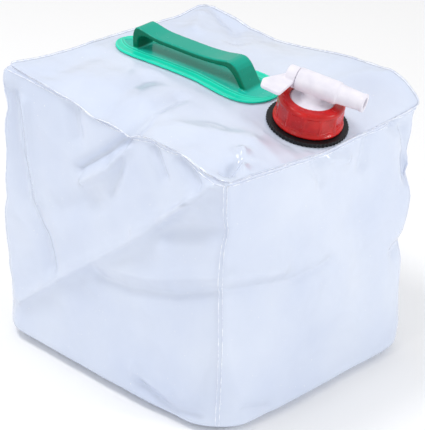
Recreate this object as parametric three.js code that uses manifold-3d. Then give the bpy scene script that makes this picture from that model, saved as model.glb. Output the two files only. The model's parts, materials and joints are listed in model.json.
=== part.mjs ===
// Collapsible water carrier: a roughly cube-shaped bag welded from six sheets of film, a soft moulded
// carry handle, and a threaded neck with a screw ring that holds a lever tap.
// Millimetres, +Z up. The origin is on the floor, under the middle of the bag. The tap side faces -Y.

import * as THREE from 'three';
import { mergeVertices } from 'three/addons/utils/BufferGeometryUtils.js';
import Module from 'manifold-3d';

const wasm = await Module();
wasm.setup();

// ---- Driving dimensions ------------------------------------------------------------------------

// Bag. The film is drawn thicker than the real sheet, which is about 0.4 mm.
const FILM = 1.0;
const GAP = 0.3;
const SEAM_GAP = 1.0;
const TOP_HALF = { x: 140, y: 145 };
const BASE_HALF = { x: 137, y: 142 };
const BASE_ROUND = 18;
const BASE_ARC_STEPS = 4;
const TOP_Z = 288.5;
const FRONT_DROP_SIDE = 22.5;
const FRONT_DROP_MIDDLE = 31.5;
const DROP_POWER = 2.3;

// Neck. Its axis leans with the film, which slopes down towards the tap side.
const NECK = new THREE.Vector3(13.5, -105.5, 266);
const NECK_LEAN = { x: Math.tan(THREE.MathUtils.degToRad(4)), y: Math.tan(THREE.MathUtils.degToRad(12.5)) };
const NECK_FLAT_RADIUS = 46;
const NECK_BLEND_RADIUS = 62;
const NECK_BORE = 25;
const NECK_TUBE = 29.2;
const NECK_FLANGE = { radius: 39, thick: 2.5 };
const NECK_TOP = 23.5;
const FILM_HOLE = 30.8;
const WASHER = { outer: 38.5, thick: 1.6 };
const NUT = { outer: 40.2, root: 39.2, hole: 30.6, top: 4.3, teeth: 60 };

// Screw thread shared by the neck and the screw ring.
const PITCH = 4.5;
const THREAD_START = 9;
const THREAD_ROOT_HALF = 1.1;
const THREAD_CREST_HALF = 0.6;
const THREAD_STEPS_PER_TURN = 20;
const NECK_THREAD = { root: 28.7, crest: 30.2, from: 0, to: 2.25 };
const RING_THREAD = { root: 31.4, crest: 29.6, from: 0.2, to: 1.7 };

// Screw ring and its gasket.
const RING = {
  bottom: 5,
  top: 30.7,
  bore: 31,
  mouth: 21.9,
  lipUnder: 28.6,
  bead: 34.5,
  wall: 33.3,
  shoulder: 32.4,
};
const PANELS = { count: 12, rib: 2.6, depth: 0.8, from: 9.6, to: 25.5 };
const GASKET = { inner: 25.4, outer: 28.8, bottom: 23.8, top: 25.6 };

// Tap body: a disc under the screw ring's lip, a riser, and a barrel that ends in the spout.
const TAP_TURN = THREE.MathUtils.degToRad(20);
const TAP_AXIS_Z = 45;
const DISC = { outer: 29.5, bottom: 25.9, top: 28.3, boss: 21.4, bossTop: 29.7 };
const SKIRT = { inner: 22.6, outer: 24.6, bottom: 20 };
const RISER = { foot: 12.5, waist: 9.5, bore: 4.6 };
const BARREL = { radius: 11.2, from: -18, to: 25, bore: 8.2, boreTo: 24.2 };
const SPOUT = { base: 9.8, tip: 8.5, end: 51, bore: 5.5, collar: 9.2, collarLength: 3 };

// Turning plug, its two O-rings and the lever blade.
const PLUG = { radius: 8.1, to: 23.8, bore: 4.4, boreFrom: -8, head: 10.6, headFrom: -29, rim: 1.2 };
const ORING = { centre: 7.05, tube: 0.8, offset: 12.5, grooveFloor: 5.9, grooveHalf: 1.25 };
const LEVER_HALF_THICK = 2;
const LEVER_OUTLINE = [
  [-19, 6], [-19, -11], [-21.5, -36], [-23.5, -37.8], [-40.5, -35.5], [-42.8, -33.5], [-45, -24], [-44, -21],
  [-32, -3], [-28.5, 5],
];

// Handle, given along its length s (positive towards the tap), across it p, and above the film h.
const HANDLE = { x: 5.7, y: 27.7 };
const HANDLE_TURN = THREE.MathUtils.degToRad(7.7);
const HANDLE_FLANGE = { thick: 1.6, lift: 0.9, from: -104, to: 89.5 };
const FLANGE_HALF_WIDTHS = [[-104, 25.5], [-60, 30], [6, 30.5], [50, 36], [89.5, 33]];
const FLANGE_END_ROUND = 30;
const GRIP_HALF_WIDTH = 13.5;
const GRIP_OUTER = [
  [-77, 0.4], [-78, 14], [-76.5, 22], [-71.5, 26], [-60, 23.6], [-48, 21.2], [-25, 20.4], [3, 20.4],
  [24, 22.4], [39, 25.6], [46, 24.8], [52, 20], [59, 10], [66, 0.4],
];
const GRIP_INNER = [
  [57, 0.4], [50, 10], [44, 16], [37, 18.8], [24, 17], [3, 15.2], [-25, 15.2], [-48, 16], [-61, 18],
  [-68, 16.5], [-71, 11], [-70.5, 0.4],
];

// ---- Solid helpers -----------------------------------------------------------------------------

function signedVolume(geometry) {
  const p = geometry.attributes.position;
  const index = geometry.index.array;
  const [a, b, c] = [new THREE.Vector3(), new THREE.Vector3(), new THREE.Vector3()];
  let volume = 0;
  for (let i = 0; i < index.length; i += 3) {
    a.fromBufferAttribute(p, index[i]);
    b.fromBufferAttribute(p, index[i + 1]);
    c.fromBufferAttribute(p, index[i + 2]);
    volume += a.dot(b.cross(c)) / 6;
  }
  return volume;
}

// Merges shared vertices, drops triangles with no area, and turns the faces outwards.
function closed(source) {
  const bare = source.clone();
  bare.deleteAttribute('normal');
  bare.deleteAttribute('uv');
  const geometry = mergeVertices(bare, 1e-4);
  const kept = [];
  const index = geometry.index.array;
  for (let i = 0; i < index.length; i += 3) {
    const [a, b, c] = [index[i], index[i + 1], index[i + 2]];
    if (a !== b && b !== c && c !== a) kept.push(a, b, c);
  }
  geometry.setIndex(kept);
  if (signedVolume(geometry) < 0) geometry.setIndex(kept.toReversed());
  return geometry;
}

function toSolid(source) {
  const geometry = closed(source);
  const vertProperties = new Float32Array(geometry.attributes.position.array);
  const triVerts = new Uint32Array(geometry.index.array);
  return new wasm.Manifold(new wasm.Mesh({ numProp: 3, vertProperties, triVerts }));
}

function toGeometry(solid) {
  const mesh = solid.getMesh();
  const positions = new Float32Array(mesh.numVert * 3);
  for (let i = 0; i < mesh.numVert; i += 1) {
    for (let k = 0; k < 3; k += 1) positions[3 * i + k] = mesh.vertProperties[mesh.numProp * i + k];
  }
  const geometry = new THREE.BufferGeometry();
  geometry.setAttribute('position', new THREE.BufferAttribute(positions, 3));
  geometry.setIndex(Array.from(mesh.triVerts));
  return closed(geometry);
}

function combine(parts, cuts = []) {
  let solid = toSolid(parts[0]);
  for (const part of parts.slice(1)) solid = solid.add(toSolid(part));
  for (const cut of cuts) solid = solid.subtract(toSolid(cut));
  return toGeometry(solid);
}

// A closed shell between two grids of points, outer(u, v) and inner(u, v), with u and v from 0 to 1.
function slab(columns, rows, outer, inner) {
  const positions = [];
  for (const side of [outer, inner]) {
    for (let j = 0; j <= rows; j += 1) {
      for (let i = 0; i <= columns; i += 1) positions.push(...side(i / columns, j / rows).toArray());
    }
  }
  const layer = (columns + 1) * (rows + 1);
  const at = (side, i, j) => side * layer + j * (columns + 1) + i;
  const index = [];
  const quad = (a, b, c, d) => index.push(a, b, c, a, c, d);
  for (let j = 0; j < rows; j += 1) {
    for (let i = 0; i < columns; i += 1) {
      quad(at(0, i, j), at(0, i + 1, j), at(0, i + 1, j + 1), at(0, i, j + 1));
      quad(at(1, i, j), at(1, i, j + 1), at(1, i + 1, j + 1), at(1, i + 1, j));
    }
    quad(at(0, 0, j), at(0, 0, j + 1), at(1, 0, j + 1), at(1, 0, j));
    quad(at(0, columns, j), at(1, columns, j), at(1, columns, j + 1), at(0, columns, j + 1));
  }
  for (let i = 0; i < columns; i += 1) {
    quad(at(0, i, 0), at(1, i, 0), at(1, i + 1, 0), at(0, i + 1, 0));
    quad(at(0, i, rows), at(0, i + 1, rows), at(1, i + 1, rows), at(1, i, rows));
  }
  const geometry = new THREE.BufferGeometry();
  geometry.setAttribute('position', new THREE.Float32BufferAttribute(positions, 3));
  geometry.setIndex(index);
  return closed(geometry);
}

// A solid of revolution about Z from [radius, z] points; a ring's profile closes on itself.
function turned(profile, segments = 40, isRing = true) {
  const points = profile.map(([r, z]) => new THREE.Vector2(r, z));
  if (isRing) points.push(points[0].clone());
  const geometry = new THREE.LatheGeometry(points, segments);
  geometry.rotateX(Math.PI / 2);
  return geometry;
}

// A cylinder about Z, or a cone where the two radii differ.
function rod(radius, from, to, endRadius = radius, segments = 40) {
  return turned([[0, from], [radius, from], [endRadius, to], [0, to]], segments, false);
}

// Lays a solid that was made about Z along the tap axis, which is X here.
function alongTap(geometry) {
  return geometry.clone().rotateY(Math.PI / 2);
}

// A helical ridge from radius root to radius crest, from one number of turns to another.
function ridge({ root, crest, from, to }, startZ) {
  const steps = Math.round((to - from) * THREAD_STEPS_PER_TURN);
  const section = [
    [root, -THREAD_ROOT_HALF],
    [crest, -THREAD_CREST_HALF],
    [crest, THREAD_CREST_HALF],
    [root, THREAD_ROOT_HALF],
  ];
  const positions = [];
  const index = [];
  for (let i = 0; i <= steps; i += 1) {
    const turns = from + ((to - from) * i) / steps;
    const angle = turns * 2 * Math.PI;
    for (const [r, dz] of section) {
      positions.push(r * Math.cos(angle), r * Math.sin(angle), startZ + PITCH * turns + dz);
    }
  }
  for (let i = 0; i < steps; i += 1) {
    for (let k = 0; k < 4; k += 1) {
      const [a, b] = [4 * i + k, 4 * i + ((k + 1) % 4)];
      index.push(a, b, b + 4, a, b + 4, a + 4);
    }
  }
  const last = 4 * steps;
  index.push(0, 2, 1, 0, 3, 2, last, last + 1, last + 2, last, last + 2, last + 3);
  const geometry = new THREE.BufferGeometry();
  geometry.setAttribute('position', new THREE.Float32BufferAttribute(positions, 3));
  geometry.setIndex(index);
  return geometry;
}

function part(name, geometry, look) {
  const mesh = new THREE.Mesh(geometry, look);
  mesh.name = name;
  return mesh;
}

function look(color, roughness) {
  return new THREE.MeshStandardMaterial({ color, roughness, metalness: 0 });
}

// ---- Bag ---------------------------------------------------------------------------------------

// Height of the top sheet's outer face: flat at the back, falling towards the tap side, and planar
// around the neck.
function topHeight(x, y) {
  const forward = Math.max(0, (TOP_HALF.y - y) / (2 * TOP_HALF.y));
  const middle = 1 - (x / TOP_HALF.x) ** 2;
  const drop = FRONT_DROP_SIDE + (FRONT_DROP_MIDDLE - FRONT_DROP_SIDE) * middle;
  const sheet = TOP_Z - drop * forward ** DROP_POWER;
  const seat = NECK.z + NECK_LEAN.x * (x - NECK.x) + NECK_LEAN.y * (y - NECK.y);
  const distance = Math.hypot(x - NECK.x, y - NECK.y);
  const away = THREE.MathUtils.smoothstep(distance, NECK_FLAT_RADIUS, NECK_BLEND_RADIUS);
  return seat + (sheet - seat) * away;
}

function neckPlaced(object) {
  const axis = new THREE.Vector3(-NECK_LEAN.x, -NECK_LEAN.y, 1).normalize();
  object.position.copy(NECK);
  object.quaternion.setFromUnitVectors(new THREE.Vector3(0, 0, 1), axis);
  object.updateMatrixWorld();
  return object;
}

function topPanel() {
  const at = (u, v, depth) => {
    const x = TOP_HALF.x * (2 * u - 1);
    const y = TOP_HALF.y * (2 * v - 1);
    return new THREE.Vector3(x, y, topHeight(x, y) - depth);
  };
  const sheet = slab(20, 20, (u, v) => at(u, v, 0), (u, v) => at(u, v, FILM));
  const hole = rod(FILM_HOLE, -15, 15);
  hole.applyMatrix4(neckPlaced(new THREE.Object3D()).matrixWorld);
  return combine([sheet], [hole]);
}

// A side sheet. Its outward direction is turned a quarter of a turn at a time from -Y, and it curls
// under the bag along its lower edge.
function sidePanel(quarter) {
  const turn = (quarter * Math.PI) / 2;
  const facesY = quarter % 2 === 0;
  const rows = 9;
  const at = (u, v, depth) => {
    const row = v * rows;
    const angle = (Math.min(row, BASE_ARC_STEPS) / BASE_ARC_STEPS) * (Math.PI / 2);
    const radius = BASE_ROUND - depth;
    const inset = BASE_ROUND - radius * Math.sin(angle);
    const rise = Math.max(0, row - BASE_ARC_STEPS) / (rows - BASE_ARC_STEPS);
    const halfX = THREE.MathUtils.lerp(BASE_HALF.x, TOP_HALF.x, rise);
    const halfY = THREE.MathUtils.lerp(BASE_HALF.y, TOP_HALF.y, rise);
    const out = facesY ? halfY : halfX;
    const wide = facesY ? halfX : halfY;
    const along = (wide - inset - GAP) * (2 * u - 1);
    const point = new THREE.Vector3(along, inset - out, 0).applyAxisAngle(new THREE.Vector3(0, 0, 1), turn);
    const foot = BASE_ROUND - radius * Math.cos(angle);
    const head = topHeight(point.x, point.y) - FILM - SEAM_GAP;
    point.z = rise > 0 ? THREE.MathUtils.lerp(BASE_ROUND, head, rise) : foot;
    return point;
  };
  return slab(12, rows, (u, v) => at(u, v, 0), (u, v) => at(u, v, FILM));
}

function bottomPanel() {
  const half = { x: BASE_HALF.x - BASE_ROUND - GAP, y: BASE_HALF.y - BASE_ROUND - GAP };
  const at = (u, v, z) => new THREE.Vector3(half.x * (2 * u - 1), half.y * (2 * v - 1), z);
  return slab(4, 4, (u, v) => at(u, v, FILM), (u, v) => at(u, v, 0));
}

// ---- Handle ------------------------------------------------------------------------------------

// Takes a point from the handle's own straight frame (s, p, h) to the film it is welded on.
function onFilm(s, p, h) {
  const [cos, sin] = [Math.cos(HANDLE_TURN), Math.sin(HANDLE_TURN)];
  const x = HANDLE.x + s * sin + p * cos;
  const y = HANDLE.y - s * cos + p * sin;
  return new THREE.Vector3(x, y, topHeight(x, y) + h);
}

// Half the flange's width: an easy change of width along its middle, and a round tip at each end.
function flangeHalfWidth(s) {
  const next = Math.max(1, FLANGE_HALF_WIDTHS.findIndex(([at]) => at >= s));
  const [s0, w0] = FLANGE_HALF_WIDTHS[next - 1];
  const [s1, w1] = FLANGE_HALF_WIDTHS[next];
  const width = w0 + (w1 - w0) * THREE.MathUtils.smoothstep(s, s0, s1);
  const fromTip = Math.min(s - HANDLE_FLANGE.from, HANDLE_FLANGE.to - s) / FLANGE_END_ROUND;
  const left = 1 - THREE.MathUtils.clamp(fromTip, 0.001, 1);
  return width * Math.sqrt(1 - left * left);
}

function handleFlange() {
  const at = (u, v, h) => {
    const ends = (1 - Math.cos(Math.PI * v)) / 2;
    const s = THREE.MathUtils.lerp(HANDLE_FLANGE.from, HANDLE_FLANGE.to, ends);
    return onFilm(s, flangeHalfWidth(s) * (2 * u - 1), h);
  };
  const { lift, thick } = HANDLE_FLANGE;
  return slab(4, 28, (u, v) => at(u, v, lift + thick), (u, v) => at(u, v, lift));
}

function grip() {
  const curve = (points) => new THREE.SplineCurve(points.map(([s, h]) => new THREE.Vector2(s, h)));
  const outline = new THREE.Shape([...curve(GRIP_OUTER).getPoints(26), ...curve(GRIP_INNER).getPoints(26)]);
  const bevel = {
    bevelEnabled: true,
    bevelThickness: 1.2,
    bevelSize: 1.2,
    bevelOffset: -1.2,
    bevelSegments: 1,
  };
  const band = new THREE.ExtrudeGeometry(outline, { depth: 2 * GRIP_HALF_WIDTH - 2.4, ...bevel });
  const p = band.attributes.position;
  for (let i = 0; i < p.count; i += 1) {
    const h = Math.max(p.getY(i), HANDLE_FLANGE.lift + HANDLE_FLANGE.thick / 2);
    p.setXYZ(i, ...onFilm(p.getX(i), p.getZ(i) - GRIP_HALF_WIDTH + 1.2, h).toArray());
  }
  return band;
}

function carryHandle() {
  return combine([handleFlange(), grip()]);
}

// ---- Neck fittings, about the neck axis, from the film's outer face ------------------------------

function neck() {
  const under = -FILM - GAP - WASHER.thick - GAP;
  const foot = under - NECK_FLANGE.thick;
  const tube = turned([
    [NECK_BORE, foot], [NECK_FLANGE.radius, foot], [NECK_FLANGE.radius, under], [NECK_TUBE, under],
    [NECK_TUBE, NECK_TOP - 1], [NECK_TUBE - 1, NECK_TOP], [NECK_BORE, NECK_TOP],
  ]);
  return combine([tube, ridge(NECK_THREAD, THREAD_START)]);
}

function neckWasher() {
  const top = -FILM - GAP;
  const bottom = top - WASHER.thick;
  return closed(turned([[NUT.hole, bottom], [WASHER.outer, bottom], [WASHER.outer, top], [NUT.hole, top]]));
}

function lockNut() {
  const points = [];
  for (let i = 0; i < NUT.teeth * 2; i += 1) {
    const radius = i % 2 ? NUT.root : NUT.outer;
    const angle = (i * Math.PI) / NUT.teeth;
    points.push(new THREE.Vector2(radius * Math.cos(angle), radius * Math.sin(angle)));
  }
  const shape = new THREE.Shape(points);
  const hole = new THREE.Path();
  hole.absarc(0, 0, NUT.hole, 0, 2 * Math.PI, true);
  shape.holes.push(hole);
  const body = new THREE.ExtrudeGeometry(shape, {
    depth: NUT.top - GAP,
    bevelEnabled: false,
    curveSegments: 16,
  });
  body.translate(0, 0, GAP);
  return closed(body);
}

function capRing() {
  const shell = turned([
    [RING.bore, RING.bottom], [RING.bead - 0.4, RING.bottom], [RING.bead, RING.bottom + 0.6],
    [RING.bead, RING.bottom + 2.4], [RING.wall, RING.bottom + 3.4], [RING.shoulder, RING.top - 3],
    [RING.shoulder - 1, RING.top - 0.9], [RING.shoulder - 2.6, RING.top], [RING.mouth, RING.top],
    [RING.mouth, RING.lipUnder], [RING.bore, RING.lipUnder],
  ], 48);
  const step = (2 * Math.PI) / PANELS.count;
  const width = 2 * (RING.wall * Math.sin(step / 2)) - PANELS.rib;
  const cuts = [];
  for (let i = 0; i < PANELS.count; i += 1) {
    const cut = new THREE.BoxGeometry(4, width, PANELS.to - PANELS.from);
    const flat = RING.shoulder * Math.cos(step / 2) - PANELS.depth / 2;
    cut.translate(flat + 2 + 0.6, 0, (PANELS.from + PANELS.to) / 2);
    cut.rotateZ((i + 0.5) * step);
    cuts.push(cut);
  }
  const body = combine([shell], cuts);
  return combine([body, ridge(RING_THREAD, THREAD_START - PITCH / 2)]);
}

function capGasket() {
  const { inner, outer, bottom, top } = GASKET;
  return closed(turned([[inner, bottom], [outer, bottom], [outer, top], [inner, top]]));
}

// ---- Tap, about the neck axis; X runs along the tap axis towards the spout -------------------------

function tapBody() {
  const disc = turned([
    [0, DISC.bottom], [SKIRT.inner, DISC.bottom], [SKIRT.inner, SKIRT.bottom], [SKIRT.outer, SKIRT.bottom],
    [SKIRT.outer, DISC.bottom], [DISC.outer, DISC.bottom], [DISC.outer, DISC.top], [DISC.boss, DISC.top],
    [DISC.boss, DISC.bossTop - 0.5], [DISC.boss - 0.5, DISC.bossTop], [0, DISC.bossTop],
  ], 40, false);
  const riser = turned([
    [0, DISC.bossTop - 1], [RISER.foot, DISC.bossTop - 1], [RISER.foot, DISC.bossTop],
    [RISER.waist, DISC.bossTop + 4], [RISER.waist, TAP_AXIS_Z], [0, TAP_AXIS_Z],
  ], 28, false);
  const barrel = alongTap(turned([
    [0, BARREL.from], [BARREL.radius - 0.6, BARREL.from], [BARREL.radius, BARREL.from + 0.6],
    [BARREL.radius, BARREL.to - 1.5], [SPOUT.base, BARREL.to], [SPOUT.tip, SPOUT.end - SPOUT.collarLength],
    [SPOUT.collar, SPOUT.end - SPOUT.collarLength], [SPOUT.collar, SPOUT.end], [0, SPOUT.end],
  ], 32, false));
  const bore = alongTap(turned([
    [0, BARREL.from - 1], [BARREL.bore, BARREL.from - 1], [BARREL.bore, BARREL.boreTo],
    [SPOUT.bore, BARREL.boreTo], [SPOUT.bore, SPOUT.end + 1], [0, SPOUT.end + 1],
  ], 40, false));
  barrel.translate(0, 0, TAP_AXIS_Z);
  bore.translate(0, 0, TAP_AXIS_Z);
  const waterWay = rod(RISER.bore, DISC.bottom - 1, TAP_AXIS_Z);
  return combine([disc, riser, barrel], [bore, waterWay]);
}

function leverBlade() {
  const outline = new THREE.Shape(LEVER_OUTLINE.map(([x, y]) => new THREE.Vector2(x, y)));
  const edge = 0.6;
  const blade = new THREE.ExtrudeGeometry(outline, {
    depth: 2 * (LEVER_HALF_THICK - edge),
    bevelThickness: edge,
    bevelSize: edge,
    bevelOffset: -edge,
    bevelSegments: 1,
  });
  return blade.translate(0, 0, edge - LEVER_HALF_THICK);
}

function tapPlug() {
  const headTo = BARREL.from - GAP;
  const groove = (middle) => [
    [PLUG.radius, middle - ORING.grooveHalf], [ORING.grooveFloor, middle - ORING.grooveHalf],
    [ORING.grooveFloor, middle + ORING.grooveHalf], [PLUG.radius, middle + ORING.grooveHalf],
  ];
  const body = alongTap(turned([
    [0, PLUG.headFrom], [PLUG.head - PLUG.rim, PLUG.headFrom], [PLUG.head, PLUG.headFrom + PLUG.rim],
    [PLUG.head, headTo], [PLUG.radius, headTo], ...groove(-ORING.offset), ...groove(ORING.offset),
    [PLUG.radius, PLUG.to], [PLUG.bore, PLUG.to], [PLUG.bore, PLUG.boreFrom], [0, PLUG.boreFrom],
  ], 32, false));
  const port = rod(PLUG.bore, 0, PLUG.radius + 1, PLUG.bore, 20).rotateX(-Math.PI / 2);
  return combine([body, leverBlade()], [port]);
}

function plugRing(offset) {
  const ring = alongTap(new THREE.TorusGeometry(ORING.centre, ORING.tube, 6, 24));
  return closed(ring.translate(offset, 0, 0));
}

// ---- Assembly ----------------------------------------------------------------------------------

const film = () => look(0xdce6f8, 0.35);
const black = () => look(0x15171b, 0.5);
const white = () => look(0xf4f2f6, 0.35);

const carrier = new THREE.Group();
carrier.add(
  part('bottom_panel', bottomPanel(), film()),
  part('front_panel', sidePanel(0), film()),
  part('right_panel', sidePanel(1), film()),
  part('back_panel', sidePanel(2), film()),
  part('left_panel', sidePanel(3), film()),
  part('top_panel', topPanel(), film()),
  part('carry_handle', carryHandle(), look(0x30baa5, 0.4)),
);

const neckGroup = neckPlaced(new THREE.Group());
neckGroup.add(
  part('neck', neck(), white()),
  part('neck_washer', neckWasher(), black()),
  part('lock_nut', lockNut(), black()),
  part('cap_ring', capRing(), look(0xe02d28, 0.3)),
  part('cap_gasket', capGasket(), look(0xc9c9c4, 0.7)),
);

const tapGroup = new THREE.Group();
tapGroup.rotation.z = TAP_TURN - Math.PI / 2;
tapGroup.add(part('tap_body', tapBody(), white()));

const plugGroup = new THREE.Group();
plugGroup.position.z = TAP_AXIS_Z;
plugGroup.add(
  part('tap_plug', tapPlug(), white()),
  part('plug_oring_lever', plugRing(-ORING.offset), black()),
  part('plug_oring_spout', plugRing(ORING.offset), black()),
);

tapGroup.add(plugGroup);
neckGroup.add(tapGroup);
carrier.add(neckGroup);

export default carrier;
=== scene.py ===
import json
import math

import bpy
import numpy as np
from mathutils import Matrix, Vector, noise
from mathutils.bvhtree import BVHTree


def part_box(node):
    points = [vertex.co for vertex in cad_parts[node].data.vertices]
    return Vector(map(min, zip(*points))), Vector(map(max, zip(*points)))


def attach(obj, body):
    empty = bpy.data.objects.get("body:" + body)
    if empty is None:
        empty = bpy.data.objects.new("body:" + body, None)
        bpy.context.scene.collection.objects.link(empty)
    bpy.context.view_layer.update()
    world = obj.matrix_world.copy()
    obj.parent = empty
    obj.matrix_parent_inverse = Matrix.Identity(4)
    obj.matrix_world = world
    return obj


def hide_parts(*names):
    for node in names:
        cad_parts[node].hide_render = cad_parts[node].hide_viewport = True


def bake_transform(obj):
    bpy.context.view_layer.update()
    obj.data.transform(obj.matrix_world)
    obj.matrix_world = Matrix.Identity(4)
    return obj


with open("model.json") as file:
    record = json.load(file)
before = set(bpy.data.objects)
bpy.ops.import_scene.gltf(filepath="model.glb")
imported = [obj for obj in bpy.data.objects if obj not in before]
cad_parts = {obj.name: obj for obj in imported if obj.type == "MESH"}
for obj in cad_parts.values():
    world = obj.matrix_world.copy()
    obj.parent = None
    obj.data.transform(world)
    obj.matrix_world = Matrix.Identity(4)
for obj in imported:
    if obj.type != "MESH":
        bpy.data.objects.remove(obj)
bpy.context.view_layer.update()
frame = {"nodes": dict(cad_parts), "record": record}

# Collapsible water carrier: a filled cube of milky film with a green handle, a red screw ring and a tap.
# Lengths are in metres. The tap side faces -Y.

MM = 0.001
JOINTS = {joint["name"]: joint for joint in frame["record"]["behaviour"]["joints"]}
MOUNTS = {mount["name"]: mount for mount in frame["record"]["mounts"]}

# ---- Bag dimensions ------------------------------------------------------------------------------

TOP_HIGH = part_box("top_panel")[1]
HALF_X = TOP_HIGH.x
HALF_Y = TOP_HIGH.y
GRID = 110

# Rounding of the upright edges at the floor and from SAG_TOP up, and of the lower edges.
EDGE_ROUND_LOW = 32 * MM
EDGE_ROUND_HIGH = 7 * MM
SAG_TOP = 120 * MM
BELLY_ROUND = 13 * MM

# The film lies flat round the neck out to NECK_FLAT, and is cut away inside NECK_HOLE above HOLE_ABOVE.
NECK_FLAT = 46 * MM
NECK_HOLE = 29.5 * MM
HOLE_ABOVE = 0.2

# The neck and the handle hold the film smooth above this height, fading out over these distances.
HELD_ABOVE = 0.24
NECK_HOLD_FADE = 30 * MM
HANDLE_HOLD_FADE = 25 * MM

# The top sheet is felt for downwards from well above the bag, and never right at its edge.
CAST_HEIGHT = 1.0
SHEET_INSIDE = 0.994

# How far each side swells: (at mid height, just above the floor).
SWELL = {
    "front": (6 * MM, 24 * MM),
    "left": (8 * MM, 21 * MM),
    "right": (8 * MM, 6 * MM),
    "back": (12 * MM, 12 * MM),
}

# Shares of the bag's height: where the wall swells most, how far that spreads, and the sag near the floor.
BELLY_HEIGHT = 0.55
BELLY_SPREAD = 0.32
SAG_SPREAD = 0.3

# How much narrower the bag is at the floor than at the top, as a share.
BASE_TAPER = 0.02

# Lift of the seam along each side of the top, as (distance along the seam, lift) in millimetres.
LEFT_SEAM = [
    (-145, -2), (-118, -5), (-86, -1), (-47, -5), (-17, -12),
    (20, -11), (76, -6), (120, 0), (145, 3),
]
RIGHT_SEAM = [
    (-145, 0), (-130, 8), (-104, 14), (-52, 8), (15, -5),
    (50, -10), (86, -8), (125, 3), (145, 7),
]
SEAM_REACH = 52 * MM

# How the upright edges stand out from straight ones, as (height, shift in X, shift in Y) in millimetres.
# Each edge is named by the signs of its X and Y.
EDGE_SHIFTS = {
    (-1, 1): [
        (0, -16, 16), (40, -14, 17), (80, -9, 12), (200, -8, 9),
        (262, -11, 11), (284, -9, 9), (292, -2, 2),
    ],
    (-1, -1): [(0, -9, -14), (40, -2, -9), (120, 1, -1), (160, -2, 0), (230, 0, 1), (266, 0, 0)],
    (1, -1): [
        (0, 0, -7), (30, 13, -8), (60, 3, -3), (115, -6, 0),
        (165, 0, -2), (215, -7, 2), (245, -4, 0), (266, 0, 0),
    ],
    (1, 1): [(0, -4, 2), (80, 4, 2), (150, -2, 4), (220, 4, 0), (290, 0, 0)],
}

# Depth of every crease, as a multiple of the heights given below.
CREASE_DEPTH = 1.5

# Creases on the sides, as points (distance along the wall, height), and on the top, as points (X, Y).
# Each one is (points, half width, height out of the film, sharpness from 0 to 1), in millimetres.
CREASES = {
    "left": [
        ([(-132, 258), (-51, 180), (16, 127), (74, 80), (112, 44)], 9, 6.0, 0.8),
        ([(-107, 234), (-38, 180)], 6, 3.0, 0.8),
        ([(-17, 268), (12, 240), (44, 214)], 6, -6.0, 0.7),
        ([(-20, 256), (2, 228), (36, 204)], 6, 4.5, 0.7),
        ([(-17, 262), (-14, 236), (-2, 206)], 6, -2.5, 0.5),
        ([(10, 112), (-30, 112), (-90, 130), (-150, 157)], 8, -3.2, 0.7),
        ([(0, 126), (-60, 136), (-150, 172)], 11, 3.0, 0.5),
        ([(-70, 192), (-105, 204), (-140, 214)], 12, -4.5, 0.2),
        ([(134, 262), (128, 205), (116, 154), (92, 124), (81, 94)], 10, -6.0, 0.5),
        ([(118, 258), (110, 205), (98, 160)], 7, 4.0, 0.6),
        ([(-50, 268), (-68, 244)], 7, -4.0, 0.5),
        ([(-86, 268), (-112, 250)], 7, -4.0, 0.4),
        ([(62, 274), (50, 246)], 9, -4.0, 0.4),
        ([(-60, 22), (-96, 12), (-120, 16)], 8, -5.0, 0.5),
        ([(-50, 34), (-96, 28)], 8, 3.0, 0.4),
        ([(70, 160), (20, 190)], 14, -2.5, 0.2),
    ],
    "front": [
        ([(-150, 157), (-100, 146), (-43, 133), (10, 136)], 8, -2.6, 0.6),
        ([(-150, 172), (-60, 150)], 11, 2.6, 0.4),
        ([(96, 262), (118, 243), (128, 220), (134, 190)], 9, -7.0, 0.5),
        ([(110, 250), (138, 200)], 7, 3.5, 0.5),
        ([(0, 246), (26, 240)], 7, 3.0, 0.3),
        ([(-18, 250), (-8, 226)], 8, -3.0, 0.3),
        ([(60, 252), (52, 226)], 10, -3.0, 0.3),
        ([(-84, 16), (-110, 22)], 9, -4.0, 0.4),
        ([(41, 175), (70, 90)], 22, -2.5, 0.1),
        ([(118, 110), (140, 116)], 10, -4.0, 0.3),
    ],
    "right": [
        ([(-140, 255), (-90, 190), (-60, 120)], 12, -5.0, 0.4),
        ([(-120, 262), (-60, 200)], 9, 4.0, 0.5),
        ([(60, 268), (30, 200), (40, 150)], 12, -5.0, 0.5),
        ([(145, 250), (90, 170), (20, 100)], 10, 4.5, 0.7),
        ([(145, 150), (60, 128), (-30, 120)], 11, -4.0, 0.4),
        ([(120, 40), (70, 26)], 9, -4.0, 0.4),
    ],
    "back": [
        ([(140, 262), (80, 190), (10, 150)], 10, 5.0, 0.7),
        ([(-140, 250), (-80, 200), (-40, 130)], 12, -5.0, 0.4),
        ([(-20, 280), (0, 230)], 10, -4.0, 0.3),
        ([(50, 282), (58, 240)], 9, -4.0, 0.4),
        ([(-145, 150), (-40, 130), (60, 138)], 11, -4.0, 0.4),
        ([(-60, 30), (-110, 24)], 9, -4.0, 0.4),
    ],
    "top": [
        ([(-122, -128), (-98, -122)], 7, -6.0, 0.4),
        ([(-108, -134), (-84, -112)], 6, 5.0, 0.6),
        ([(-135, -20), (-100, -10), (-60, -4)], 9, -3.5, 0.3),
        ([(-135, 30), (-80, 40), (-50, 44)], 14, -2.5, 0.2),
        ([(-60, -100), (-90, -70), (-120, -40)], 16, 2.5, 0.2),
        ([(90, 60), (120, 90), (138, 140)], 12, -4.0, 0.3),
        ([(70, 100), (110, 130)], 10, 3.0, 0.3),
        ([(80, -60), (120, -90), (138, -120)], 14, 3.0, 0.2),
        ([(-120, 110), (-70, 120), (0, 128)], 14, -2.5, 0.2),
    ],
}


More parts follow.
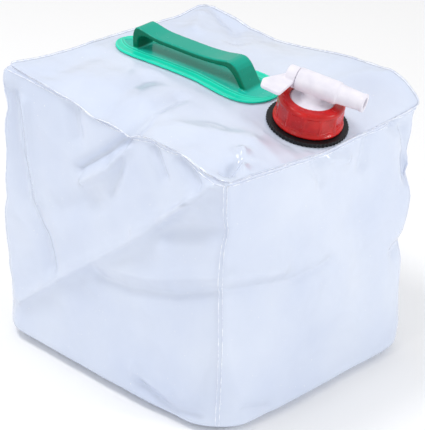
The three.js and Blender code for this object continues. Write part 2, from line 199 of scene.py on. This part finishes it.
# The film's unevenness: size of the bumps and how far they stand out, for noise of three kinds.
BROAD_SIZE = 0.085
BROAD_DEPTH = 1.6 * MM
FOLD_SIZE = 0.075
FOLD_DEPTH = 1.1 * MM
CRUMPLE_SIZE = 0.03
CRUMPLE_DEPTH = 0.28 * MM

# The weld lines along the top: how far below the edge, as a share of the bag's height, and their radius.
TOP_WELDS = ((0.005, 0.5 * MM), (0.0165, 0.6 * MM))

# The upright weld lines: distance from the edge as a share of the side, ends as shares of the height.
UPRIGHT_WELD_INSET = 0.008
UPRIGHT_WELD_RADIUS = 0.45 * MM
UPRIGHT_WELD_FROM = 0.03
UPRIGHT_WELD_TO = 0.985

# How far a weld line's middle stands off the film.
WELD_LIFT = 0.15 * MM

# The narrow fin past the top weld: its width and how much and how often that sways, and its section.
FIN_WIDTH = 1.7 * MM
FIN_WIDTH_SWAY = 0.4 * MM
FIN_WAVE = 0.03
FIN_RISE = 0.55
FIN_THICK = 0.5 * MM
FIN_ROOT_DROP = 1.2 * MM

# ---- Mesh helpers --------------------------------------------------------------------------------


def new_mesh(name, points, faces):
    mesh = bpy.data.meshes.new(name)
    mesh.from_pydata([tuple(p) for p in points], [], faces)
    mesh.validate()
    mesh.update()
    mesh.shade_smooth()
    obj = bpy.data.objects.new(name, mesh)
    bpy.context.scene.collection.objects.link(obj)
    return obj


def vertices(obj):
    flat = np.empty(3 * len(obj.data.vertices))
    obj.data.vertices.foreach_get("co", flat)
    return flat.reshape(-1, 3)


def set_vertices(obj, points):
    obj.data.vertices.foreach_set("co", points.astype(np.float32).ravel())
    obj.data.update()


def normals(obj):
    flat = np.empty(3 * len(obj.data.vertices))
    obj.data.vertex_normals.foreach_get("vector", flat)
    return flat.reshape(-1, 3)


def smoothstep(x, low, high):
    t = np.clip((x - low) / (high - low), 0, 1)
    return t * t * (3 - 2 * t)


def along_profile(profile, distance):
    places = [p[0] * MM for p in profile]
    lifts = [p[1] * MM for p in profile]
    return np.interp(distance, places, lifts)


def distance_to_line(flat, points):
    """Distance of flat points to an open polyline, in metres."""
    best = np.full(len(flat), 1e9)
    for start, end in zip(points, points[1:]):
        a = np.array(start) * MM
        ab = np.array(end) * MM - a
        t = np.clip((flat - a) @ ab / (ab @ ab), 0, 1)
        best = np.minimum(best, np.linalg.norm(flat - a - t[:, None] * ab, axis=1))
    return best


def crease_height(flat, creases):
    total = np.zeros(len(flat))
    for points, width, height, sharpness in creases:
        d = distance_to_line(flat, points) / (width * MM)
        soft = np.exp(-d * d)
        sharp = np.exp(-1.6 * np.sqrt(d * d + 0.01)) * 1.1
        total += CREASE_DEPTH * height * MM * (soft + (sharp - soft) * sharpness)
    return total


def fbm(points, size, octaves=3):
    """Smooth noise to both sides of 0, with bumps of about that size."""
    return np.array([noise.fractal(Vector(p) / size, 1.0, 2.0, octaves) for p in points])


def crumple(points, size):
    """Sharp-ridged noise, like film that has been folded and filled again."""
    return np.array([noise.ridged_multi_fractal(Vector(p) / size, 0.9, 2.1, 2, 1.0, 1.4) for p in points])


# ---- Bag ---------------------------------------------------------------------------------------


def neck_frame():
    joint = JOINTS["cap_turn"]
    return Vector(joint["pos_m"]), Vector(joint["axis"]).normalized()


def mesh_tree(obj):
    """A search tree of an object's own faces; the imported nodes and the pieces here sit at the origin."""
    corners = [v.co for v in obj.data.vertices]
    return BVHTree.FromPolygons(corners, [tuple(f.vertices) for f in obj.data.polygons])


def top_height(x, y):
    """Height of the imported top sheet's outer face; the neck's own plane near the neck."""
    tree = mesh_tree(frame["nodes"]["top_panel"])
    seat, axis = neck_frame()
    heights = np.empty(len(x))
    for i, (px, py) in enumerate(zip(x, y)):
        if math.hypot(px - seat.x, py - seat.y) < NECK_FLAT:
            heights[i] = seat.z - ((px - seat.x) * axis.x + (py - seat.y) * axis.y) / axis.z
            continue
        inside_x = np.clip(px, -SHEET_INSIDE * HALF_X, SHEET_INSIDE * HALF_X)
        inside_y = np.clip(py, -SHEET_INSIDE * HALF_Y, SHEET_INSIDE * HALF_Y)
        hit = tree.ray_cast(Vector((inside_x, inside_y, CAST_HEIGHT)), Vector((0, 0, -1)))
        heights[i] = hit[0].z
    return heights


def box_grid(cells):
    """Points of a unit cube's surface as a grid, and the faces that join them."""
    index = {}
    points = []
    faces = []

    def at(key):
        if key not in index:
            index[key] = len(points)
            points.append([k / cells for k in key])
        return index[key]

    for axis in range(3):
        for end in (0, cells):
            for i in range(cells):
                for j in range(cells):
                    ring = []
                    for di, dj in ((0, 0), (1, 0), (1, 1), (0, 1)):
                        key = [0, 0, 0]
                        key[axis] = end
                        key[(axis + 1) % 3] = i + di
                        key[(axis + 2) % 3] = j + dj
                        ring.append(at(tuple(key)))
                    faces.append(ring if end else ring[::-1])
    return np.array(points), faces


def rounded(unit):
    """Points of a bag with rounded upright and lower edges: X and Y in metres, Z from 0 to 1."""
    height = HALF_X + HALF_Y
    p = np.column_stack([
        (2 * unit[:, 0] - 1) * HALF_X,
        (2 * unit[:, 1] - 1) * HALF_Y,
        unit[:, 2] * height,
    ])
    radius = EDGE_ROUND_LOW + (EDGE_ROUND_HIGH - EDGE_ROUND_LOW) * smoothstep(p[:, 2], 0, SAG_TOP)
    inner = np.column_stack([
        np.clip(p[:, 0], radius - HALF_X, HALF_X - radius),
        np.clip(p[:, 1], radius - HALF_Y, HALF_Y - radius),
        np.maximum(p[:, 2], BELLY_ROUND),
    ])
    reach = (p - inner) / np.column_stack([radius, radius, np.full(len(p), BELLY_ROUND)])
    length = np.maximum(np.linalg.norm(reach, axis=1), 1)
    p = inner + (p - inner) / length[:, None]
    p[:, 2] /= height
    return p


def seam_lift(x, y):
    left = along_profile(LEFT_SEAM, y) * smoothstep(-x, HALF_X - SEAM_REACH, HALF_X)
    right = along_profile(RIGHT_SEAM, y) * smoothstep(x, HALF_X - SEAM_REACH, HALF_X)
    return left + right


def swell(flat_place, up, amounts):
    """How far a wall stands out, from where a point is along the wall (-1 to 1) and how high (0 to 1)."""
    middle, low = amounts
    across = np.clip(1 - flat_place**2, 0, 1) ** 0.5
    nearly_across = np.clip(1 - flat_place**6, 0, 1)
    belly = np.exp(-(((up - BELLY_HEIGHT) / BELLY_SPREAD) ** 2)) * middle
    sag = np.exp(-((up / SAG_SPREAD) ** 2)) * low
    return (across * belly + nearly_across * sag) * smoothstep(1 - up, 0, 0.12)


def quiet_zone(points):
    """1 where the film is free, falling to 0 under the neck and the handle, which hold it smooth."""
    seat, _ = neck_frame()
    from_neck = np.hypot(points[:, 0] - seat.x, points[:, 1] - seat.y)
    low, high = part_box("carry_handle")
    dx = np.maximum(np.maximum(low.x - points[:, 0], points[:, 0] - high.x), 0)
    dy = np.maximum(np.maximum(low.y - points[:, 1], points[:, 1] - high.y), 0)
    clear_of_neck = smoothstep(from_neck, NECK_FLAT, NECK_FLAT + NECK_HOLD_FADE)
    return clear_of_neck * smoothstep(np.hypot(dx, dy), 0, HANDLE_HOLD_FADE)


def bag_points(unit):
    """Where the bag's film lies, for points of a unit cube's surface."""
    p = rounded(unit)
    up = p[:, 2].copy()
    taper = 1 - BASE_TAPER * (1 - up)
    x = p[:, 0] * taper
    y = p[:, 1] * taper
    top = top_height(x, y) + seam_lift(x, y)
    points = np.column_stack([x, y, up * top])
    a = x / HALF_X
    b = y / HALF_Y
    steepness = 3 + 9 * smoothstep(up, 0.02, 0.2)
    masks = {
        "left": np.clip(-a, 0, 1) ** steepness,
        "right": np.clip(a, 0, 1) ** steepness,
        "front": np.clip(-b, 0, 1) ** steepness,
        "back": np.clip(b, 0, 1) ** steepness,
    }
    directions = {"left": (-1, 0), "right": (1, 0), "front": (0, -1), "back": (0, 1)}
    for name, (dx, dy) in directions.items():
        place = b if dx else a
        flat = np.column_stack([y if dx else x, points[:, 2]])
        push = swell(place, up, SWELL[name])
        push += crease_height(flat, CREASES[name]) * smoothstep(1 - up, 0, 0.03) * smoothstep(up, 0, 0.05)
        push *= masks[name]
        points[:, 0] += dx * push
        points[:, 1] += dy * push
    for (side_x, side_y), shifts in EDGE_SHIFTS.items():
        near = np.clip(side_x * a, 0, 1) ** 5 * np.clip(side_y * b, 0, 1) ** 5
        heights = [row[0] * MM for row in shifts]
        points[:, 0] += near * np.interp(points[:, 2], heights, [row[1] * MM for row in shifts])
        points[:, 1] += near * np.interp(points[:, 2], heights, [row[2] * MM for row in shifts])
    flat_top = np.column_stack([x, y])
    on_top = smoothstep(up, 0.97, 1.0)
    free = quiet_zone(points)
    points[:, 2] += on_top * free * crease_height(flat_top, CREASES["top"])
    return points


def crinkled(points, outward):
    """The small unevenness of film: broad soft dents, and a fine crumple."""
    free = quiet_zone(points)
    free = np.where(points[:, 2] > HELD_ABOVE, free, 1)
    lifted = smoothstep(points[:, 2], 0.002, 0.02)
    broad = fbm(points, BROAD_SIZE, 2) * BROAD_DEPTH
    folded = (crumple(points, FOLD_SIZE) - 1.0) * FOLD_DEPTH
    fine = (crumple(points + 3.1, CRUMPLE_SIZE) - 1.0) * CRUMPLE_DEPTH
    return points + outward * ((broad + folded + fine) * free * lifted)[:, None]


def film_bag():
    unit, faces = box_grid(GRID)
    bag = new_mesh("film_bag", bag_points(unit), faces)
    set_vertices(bag, crinkled(vertices(bag), normals(bag)))
    return bag


def tube(path, radius, sides=8):
    """A closed round bead along a path of points."""
    path = np.array(path)
    ahead = np.gradient(path, axis=0)
    ahead /= np.linalg.norm(ahead, axis=1)[:, None]
    side = np.cross(ahead, (0.31, 0.47, 0.83))
    side /= np.linalg.norm(side, axis=1)[:, None]
    over = np.cross(ahead, side)
    points = []
    faces = []
    for centre, s, o in zip(path, side, over):
        for k in range(sides):
            angle = 2 * math.pi * k / sides
            points.append(centre + radius * (math.cos(angle) * s + math.sin(angle) * o))
    for i in range(len(path) - 1):
        for k in range(sides):
            here = i * sides
            n = (k + 1) % sides
            faces.append((here + k, here + n, here + sides + n, here + sides + k))
    faces.append(tuple(range(sides))[::-1])
    faces.append(tuple((len(path) - 1) * sides + k for k in range(sides)))
    return points, faces


def joined(name, pieces):
    points = []
    faces = []
    for part_points, part_faces in pieces:
        base = len(points)
        points.extend(part_points)
        faces.extend(tuple(base + k for k in face) for face in part_faces)
    return new_mesh(name, points, faces)


def film_line(bag_tree, start, end, steps=150):
    """The film's own surface along a straight line between two unit-cube points."""
    t = np.linspace(0, 1, steps)[:, None]
    unit = np.array(start) * (1 - t) + np.array(end) * t
    line = []
    for p in bag_points(unit):
        place, normal, _, _ = bag_tree.find_nearest(Vector(p))
        line.append(np.array(place + normal * WELD_LIFT))
    return np.array(line)


def weld_seams(bag):
    """Two thin raised weld lines along each top edge and each upright edge of the bag."""
    tree = mesh_tree(bag)
    pieces = []
    for off, radius in TOP_WELDS:
        for side in (0, 1):
            pieces.append(tube(film_line(tree, (side, 0.01, 1 - off), (side, 0.99, 1 - off)), radius))
            pieces.append(tube(film_line(tree, (0.01, side, 1 - off), (0.99, side, 1 - off)), radius))
    for x, y in ((0, 0), (1, 0), (1, 1), (0, 1)):
        inset_x = abs(x - UPRIGHT_WELD_INSET)
        inset_y = abs(y - UPRIGHT_WELD_INSET)
        for px, py in ((inset_x, y), (x, inset_y)):
            line = film_line(tree, (px, py, UPRIGHT_WELD_FROM), (px, py, UPRIGHT_WELD_TO))
            pieces.append(tube(line, UPRIGHT_WELD_RADIUS))
    return joined("weld_seams", pieces)


def weld_fins(bag):
    """The narrow flange of doubled film that stands out past the weld along the top edges."""
    tree = mesh_tree(bag)
    corners = [(0, 0), (1, 0), (1, 1), (0, 1), (0, 0)]
    points = []
    faces = []
    for (x0, y0), (x1, y1) in zip(corners, corners[1:]):
        edge = film_line(tree, (x0, y0, 1), (x1, y1, 1))
        out = np.array([(y1 - y0), -(x1 - x0), 0.0])
        sway = np.array([noise.noise(Vector(p) / FIN_WAVE) for p in edge])
        width = FIN_WIDTH + FIN_WIDTH_SWAY * sway
        lip = edge + (out + np.array([0, 0, FIN_RISE])) * width[:, None]
        under_lip = lip - np.array([0, 0, FIN_THICK])
        root = edge - out * MM - np.array([0, 0, FIN_ROOT_DROP])
        base = len(points)
        for corner_set in zip(edge, lip, under_lip, root):
            points.extend(corner_set)
        for i in range(len(edge) - 1):
            for k in range(4):
                a = base + 4 * i + k
                b = base + 4 * i + (k + 1) % 4
                faces.append((a, b, b + 4, a + 4))
        last = base + 4 * (len(edge) - 1)
        faces.append((base + 3, base + 2, base + 1, base))
        faces.append((last, last + 1, last + 2, last + 3))
    return new_mesh("weld_fins", points, faces)


def cut_neck_hole(bag):
    """Opens the film inside the neck, where the neck washer covers the edge."""
    seat, axis = neck_frame()
    centres = np.array([f.center for f in bag.data.polygons])
    from_axis = np.linalg.norm(np.cross(centres - np.array(seat), np.array(axis)), axis=1)
    doomed = (from_axis < NECK_HOLE) & (centres[:, 2] > HOLE_ABOVE)
    kept = [tuple(f.vertices) for f, gone in zip(bag.data.polygons, doomed) if not gone]
    points = vertices(bag)
    mesh = bag.data
    mesh.clear_geometry()
    mesh.from_pydata([tuple(p) for p in points], [], kept)
    mesh.update()
    mesh.shade_smooth()


# ---- Moulded pieces ------------------------------------------------------------------------------


def moulded(node, name, voxel, smoothing, body):
    """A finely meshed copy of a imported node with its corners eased, as an injection moulding has."""
    source = frame["nodes"][node]
    obj = bpy.data.objects.new(name, source.data.copy())
    bpy.context.scene.collection.objects.link(obj)
    remesh = obj.modifiers.new("voxels", "REMESH")
    remesh.mode = "VOXEL"
    remesh.voxel_size = voxel
    remesh.use_smooth_shade = True
    smooth = obj.modifiers.new("ease", "SMOOTH")
    smooth.factor = 0.5
    smooth.iterations = smoothing
    eased = obj.evaluated_get(bpy.context.evaluated_depsgraph_get())
    obj.data = bpy.data.meshes.new_from_object(eased)
    obj.modifiers.clear()
    obj.data.shade_smooth()
    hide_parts(node)
    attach(obj, body)
    return obj


# ---- Materials -----------------------------------------------------------------------------------


def material(name):
    made = bpy.data.materials.new(name)
    made.use_nodes = True
    shader = made.node_tree.nodes["Principled BSDF"]
    return made, made.node_tree, shader


def linear(r, g, b):
    """Scene colour of an sRGB colour given from 0 to 255."""
    return tuple(((c / 255 + 0.055) / 1.055) ** 2.4 if c > 10 else c / 3294.6 for c in (r, g, b)) + (1.0,)


def object_noise(tree, scale, detail=3.0, roughness=0.5):
    """Noise laid out in the object's own coordinates."""
    place = tree.nodes.new("ShaderNodeTexCoord")
    texture = tree.nodes.new("ShaderNodeTexNoise")
    texture.inputs["Scale"].default_value = scale
    texture.inputs["Detail"].default_value = detail
    texture.inputs["Roughness"].default_value = roughness
    tree.links.new(place.outputs["Object"], texture.inputs["Vector"])
    return texture.outputs["Fac"]


def mapped(tree, value, low, high, to_low, to_high):
    node = tree.nodes.new("ShaderNodeMapRange")
    node.inputs["From Min"].default_value = low
    node.inputs["From Max"].default_value = high
    node.inputs["To Min"].default_value = to_low
    node.inputs["To Max"].default_value = to_high
    tree.links.new(value, node.inputs["Value"])
    return node.outputs["Result"]


def mixed(tree, factor, first, second):
    node = tree.nodes.new("ShaderNodeMix")
    node.data_type = "RGBA"
    tree.links.new(factor, node.inputs["Factor"])
    for socket, colour in ((node.inputs["A"], first), (node.inputs["B"], second)):
        if isinstance(colour, tuple):
            socket.default_value = colour
        else:
            tree.links.new(colour, socket)
    return node.outputs["Result"]


def bumped(tree, shader, height, strength, distance):
    node = tree.nodes.new("ShaderNodeBump")
    node.inputs["Strength"].default_value = strength
    node.inputs["Distance"].default_value = distance
    tree.links.new(height, node.inputs["Height"])
    tree.links.new(node.outputs["Normal"], shader.inputs["Normal"])


def film_material():
    made, tree, shader = material("film")
    cloud = mapped(tree, object_noise(tree, 9, 4), 0.3, 0.7, 0, 1)
    colour = mixed(tree, cloud, linear(212, 222, 243), linear(226, 234, 249))
    # Tiny near-white spots on the film: partly small scratches and bubbles in the film, partly painted
    # glints.
    specks_and_glints = mapped(tree, object_noise(tree, 420, 2, 0.5), 0.72, 0.78, 0, 0.8)
    colour = mixed(tree, specks_and_glints, colour, linear(250, 252, 255))
    tree.links.new(colour, shader.inputs["Base Color"])
    tree.links.new(mapped(tree, object_noise(tree, 40, 3), 0.3, 0.7, 0.12, 0.24), shader.inputs["Roughness"])
    shader.inputs["IOR"].default_value = 1.45
    shader.inputs["Alpha"].default_value = 0.86
    shader.inputs["Coat Weight"].default_value = 0.5
    shader.inputs["Coat Roughness"].default_value = 0.09
    bumped(tree, shader, object_noise(tree, 38, 2, 0.4), 0.12, 1.0 * MM)
    return made


def weld_material():
    made, tree, shader = material("weld")
    cloud = mapped(tree, object_noise(tree, 200, 2), 0.35, 0.65, 0, 1)
    colour = mixed(tree, cloud, linear(214, 221, 240), linear(240, 244, 252))
    tree.links.new(colour, shader.inputs["Base Color"])
    tree.links.new(mapped(tree, object_noise(tree, 400, 2), 0.3, 0.7, 0.12, 0.3), shader.inputs["Roughness"])
    shader.inputs["Coat Weight"].default_value = 0.3
    return made


def plastic_material(name, dark, light, rough, speck_scale, bump=0.06 * MM, coat=0.0):
    """Moulded plastic with a faint cloudiness, uneven gloss and a fine mould texture."""
    made, tree, shader = material(name)
    cloud = mapped(tree, object_noise(tree, speck_scale, 3), 0.3, 0.7, 0, 1)
    tree.links.new(mixed(tree, cloud, linear(*dark), linear(*light)), shader.inputs["Base Color"])
    gloss = mapped(tree, object_noise(tree, 3 * speck_scale, 3), 0.3, 0.7, rough[0], rough[1])
    tree.links.new(gloss, shader.inputs["Roughness"])
    shader.inputs["IOR"].default_value = 1.5
    shader.inputs["Specular IOR Level"].default_value = 0.3
    shader.inputs["Coat Weight"].default_value = coat
    shader.inputs["Coat Roughness"].default_value = 0.08
    bumped(tree, shader, object_noise(tree, 900, 2), 0.3, bump)
    return made


def handle_material():
    """Green plastic whose colour comes from the painted zones of the handle, which hold painted shade and
    painted highlights.
    """
    made, tree, shader = material("handle_green")
    zone = tree.nodes.new("ShaderNodeAttribute")
    zone.attribute_name = "zone"
    cloud = mapped(tree, object_noise(tree, 45, 3), 0.3, 0.7, 0.96, 1.03)
    scaled = tree.nodes.new("ShaderNodeVectorMath")
    scaled.operation = "SCALE"
    tree.links.new(zone.outputs["Color"], scaled.inputs[0])
    tree.links.new(cloud, scaled.inputs["Scale"])
    tree.links.new(scaled.outputs["Vector"], shader.inputs["Base Color"])
    gloss = mapped(tree, object_noise(tree, 240, 3), 0.3, 0.7, 0.16, 0.28)
    tree.links.new(gloss, shader.inputs["Roughness"])
    shader.inputs["IOR"].default_value = 1.5
    shader.inputs["Specular IOR Level"].default_value = 0.12
    shader.inputs["Coat Weight"].default_value = 0.15
    shader.inputs["Coat Roughness"].default_value = 0.06
    bumped(tree, shader, object_noise(tree, 1100, 2), 0.25, 0.05 * MM)
    return made


def dress(obj, look):
    obj.data.materials.clear()
    obj.data.materials.append(look)


# ---- Handle --------------------------------------------------------------------------------------

HANDLE_TURN = math.radians(7.7)
FLANGE_TOP = 2.6 * MM
FLANGE_FROM = -104 * MM
FLANGE_TO = 89.5 * MM
FLANGE_END_ROUND = 30 * MM
FLANGE_HALF_WIDTHS = [(-104, 25.5), (-60, 30), (6, 30.5), (50, 36), (89.5, 33)]

# Places across the flange, measured in from its edge.
RIM_LINE = 2.5 * MM
OUTER_WELD_LINE = 11 * MM
INNER_WELD_LINE = 14.5 * MM


def handle_place(points):
    """Distance along, across and above the film, for points on the handle."""
    centre = MOUNTS["handle_grip"]["pos_m"]
    dx = points[:, 0] - centre[0]
    dy = points[:, 1] - centre[1]
    along = dx * math.sin(HANDLE_TURN) - dy * math.cos(HANDLE_TURN)
    across = dx * math.cos(HANDLE_TURN) + dy * math.sin(HANDLE_TURN)
    return along, across, points[:, 2] - top_height(points[:, 0], points[:, 1])


def flange_half_width(along):
    """Half the width of the welded flange, which ends in a round tip at each end."""
    from_tip = np.minimum(along - FLANGE_FROM, FLANGE_TO - along) / FLANGE_END_ROUND
    left = 1 - np.clip(from_tip, 0.001, 1)
    return along_profile(FLANGE_HALF_WIDTHS, along) * np.sqrt(1 - left * left)


def line_at(edge, place, width):
    """1 on a line that runs along inside the flange's edge, falling to 0 beside it."""
    return np.exp(-(((edge - place) / width) ** 2))


def paint_handle(handle):
    points = vertices(handle)
    along, across, above = handle_place(points)
    facing = normals(handle)[:, 2]
    edge = flange_half_width(along) - np.abs(across)
    mint = np.array(linear(22, 214, 180)[:3])
    # A paler green painted along the rim and the two weld lines, on their raised ridges: painted highlight.
    weld_line_highlight = np.array(linear(64, 238, 206)[:3])
    # Inside the inner weld line, under the grip, the flange is darker and greyer: partly a greyer tone of
    # its own, partly painted shade of the grip above it.
    under_grip_shade_and_tone = np.array(linear(26, 190, 168)[:3])
    # The grip's green is given twice: a lit copy for its top and a darker copy for its sides, as painted
    # shade.
    grip_lit_top = np.array(linear(6, 160, 138)[:3])
    grip_shaded_side = np.array(linear(0, 108, 82)[:3])
    inner = smoothstep(edge, INNER_WELD_LINE, INNER_WELD_LINE + 2 * MM)
    line = line_at(edge, INNER_WELD_LINE, 0.8 * MM) + line_at(edge, OUTER_WELD_LINE, 0.7 * MM)
    line += line_at(edge, RIM_LINE, 0.9 * MM)
    # Painted shade: the strip between the two weld lines is darkened as if shaded in a groove.
    groove_painted_shade = line_at(edge, (INNER_WELD_LINE + OUTER_WELD_LINE) / 2, 0.8 * MM)
    colour = mint[None, :] * (1 - inner[:, None]) + under_grip_shade_and_tone[None, :] * inner[:, None]
    # Painted highlight: the rim and weld lines are lightened towards the paler green.
    colour = colour + (weld_line_highlight - mint)[None, :] * np.clip(line, 0, 1)[:, None]
    colour = colour * (1 - 0.35 * groove_painted_shade)[:, None]
    is_grip = smoothstep(above, FLANGE_TOP, FLANGE_TOP + 2.5 * MM)[:, None]
    # Painted shade: faces that turn away from upward get the darker side green.
    up = smoothstep(facing, 0.2, 0.8)[:, None]
    grip = grip_shaded_side[None, :] * (1 - up) + grip_lit_top[None, :] * up
    colour = colour * (1 - is_grip) + grip * is_grip
    attribute = handle.data.color_attributes.new("zone", "FLOAT_COLOR", "POINT")
    colours = np.column_stack([colour, np.ones(len(colour))])
    attribute.data.foreach_set("color", colours.astype(np.float32).ravel())


def emboss_handle(handle):
    """Raises the weld rim and the thin lines that run along the flange."""
    points = vertices(handle)
    along, across, above = handle_place(points)
    edge = flange_half_width(along) - np.abs(across)
    flat = smoothstep(-above, -FLANGE_TOP - 0.6 * MM, -FLANGE_TOP)
    ridge = line_at(edge, INNER_WELD_LINE, 1.0 * MM) * 0.8 * MM
    ridge += line_at(edge, OUTER_WELD_LINE, 1.0 * MM) * 0.6 * MM
    ridge += line_at(edge, RIM_LINE, 1.4 * MM) * 0.6 * MM
    points[:, 2] += ridge * flat * (normals(handle)[:, 2] > 0.3)
    set_vertices(handle, points)


# ---- Build ---------------------------------------------------------------------------------------


def build_bag():
    bag = film_bag()
    seams = weld_seams(bag)
    fins = weld_fins(bag)
    cut_neck_hole(bag)
    walls = ["front_panel", "right_panel", "back_panel", "left_panel", "bottom_panel", "top_panel"]
    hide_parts(*walls)
    looks = ((bag, film_material()), (seams, weld_material()), (fins, weld_material()))
    for piece, look in looks:
        dress(piece, look)
        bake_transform(piece)


def build_handle():
    handle = moulded("carry_handle", "moulded_handle", 0.75 * MM, 3, "top")
    emboss_handle(handle)
    paint_handle(handle)
    dress(handle, handle_material())


def build_fittings():
    red = plastic_material("cap_red", (174, 6, 6), (204, 12, 10), (0.16, 0.3), 90, coat=0.3)
    white = plastic_material("tap_white", (222, 219, 230), (235, 232, 240), (0.28, 0.42), 80)
    neck_white = plastic_material("neck_white", (226, 226, 232), (240, 240, 244), (0.3, 0.45), 90)
    black = plastic_material("nut_black", (8, 8, 11), (20, 21, 25), (0.36, 0.55), 120)
    rubber = plastic_material("seal_black", (16, 16, 17), (28, 28, 29), (0.6, 0.8), 200)
    grey = plastic_material("gasket_grey", (176, 176, 170), (196, 196, 190), (0.6, 0.8), 200)
    dress(moulded("cap_ring", "ribbed_ring", 0.56 * MM, 3, "cap"), red)
    dress(moulded("tap_body", "tap_casting", 0.65 * MM, 6, "tap"), white)
    dress(moulded("tap_plug", "lever_plug", 0.65 * MM, 5, "lever"), white)
    dress(moulded("lock_nut", "serrated_nut", 0.5 * MM, 1, "top"), black)
    dress(moulded("neck", "threaded_neck", 0.7 * MM, 2, "top"), neck_white)
    dress(frame["nodes"]["neck_washer"], rubber)
    dress(frame["nodes"]["plug_oring_lever"], rubber)
    dress(frame["nodes"]["plug_oring_spout"], rubber)
    dress(frame["nodes"]["cap_gasket"], grey)


# ---- Stage ---------------------------------------------------------------------------------------

VIEW_AZIMUTH = math.radians(-47.55)
VIEW_ELEVATION = math.radians(25.73)
VIEW_ROLL = math.radians(-2.75)
VIEW_DISTANCE = 1.831
VIEW_SHIFT = (0.001, -0.0045)
AIM_HEIGHT = 0.14
LENS = 150.7
FLOOR_HALF = 9
FLOOR_DROP = 0.6 * MM


def camera():
    right = Vector((math.cos(VIEW_AZIMUTH), math.sin(VIEW_AZIMUTH), 0))
    back = Vector((
        math.sin(VIEW_AZIMUTH) * math.cos(VIEW_ELEVATION),
        -math.cos(VIEW_AZIMUTH) * math.cos(VIEW_ELEVATION),
        math.sin(VIEW_ELEVATION),
    ))
    up = back.cross(right)
    data = bpy.data.cameras.new("camera")
    data.lens = LENS
    data.sensor_width = 36
    data.clip_end = 20
    made = bpy.data.objects.new("camera", data)
    bpy.context.scene.collection.objects.link(made)
    rolled_right = right * math.cos(VIEW_ROLL) - up * math.sin(VIEW_ROLL)
    rolled_up = right * math.sin(VIEW_ROLL) + up * math.cos(VIEW_ROLL)
    place = Vector((0, 0, AIM_HEIGHT)) + right * VIEW_SHIFT[0] + up * VIEW_SHIFT[1] + back * VIEW_DISTANCE
    made.matrix_world = Matrix((rolled_right, rolled_up, back)).transposed().to_4x4()
    made.location = place
    bpy.context.scene.camera = made


def soft_light(name, place, size, power, colour=(1, 1, 1)):
    data = bpy.data.lights.new(name, "AREA")
    data.shape = "DISK"
    data.size = size
    data.energy = power
    data.color = colour
    lamp = bpy.data.objects.new(name, data)
    bpy.context.scene.collection.objects.link(lamp)
    lamp.location = place
    lamp.rotation_mode = "QUATERNION"
    lamp.rotation_quaternion = (Vector(place) - Vector((0, 0, AIM_HEIGHT))).to_track_quat("Z", "Y")


def studio():
    world = bpy.data.worlds.new("studio")
    bpy.context.scene.world = world
    world.use_nodes = True
    world.node_tree.nodes["Background"].inputs["Color"].default_value = (1, 1, 1, 1)
    world.node_tree.nodes["Background"].inputs["Strength"].default_value = 0.78
    bpy.context.scene.view_settings.view_transform = "Standard"
    soft_light("key", (-0.6, 0.5, 1.8), 0.5, 11)
    soft_light("front", (0.7, -1.8, 0.9), 0.5, 9.5)
    soft_light("left", (-1.7, -0.3, 0.9), 0.4, 2.5)
    far = FLOOR_HALF
    corners = [(-far, -far, 0), (far, -far, 0), (far, far, 0), (-far, far, 0)]
    floor = new_mesh("floor", corners, [(0, 1, 2, 3)])
    floor.location.z = -FLOOR_DROP
    look, _, shader = material("floor")
    shader.inputs["Base Color"].default_value = (0.96, 0.96, 0.965, 1)
    shader.inputs["Roughness"].default_value = 0.9
    floor.data.materials.append(look)


camera()
studio()
build_bag()
build_handle()
build_fittings()
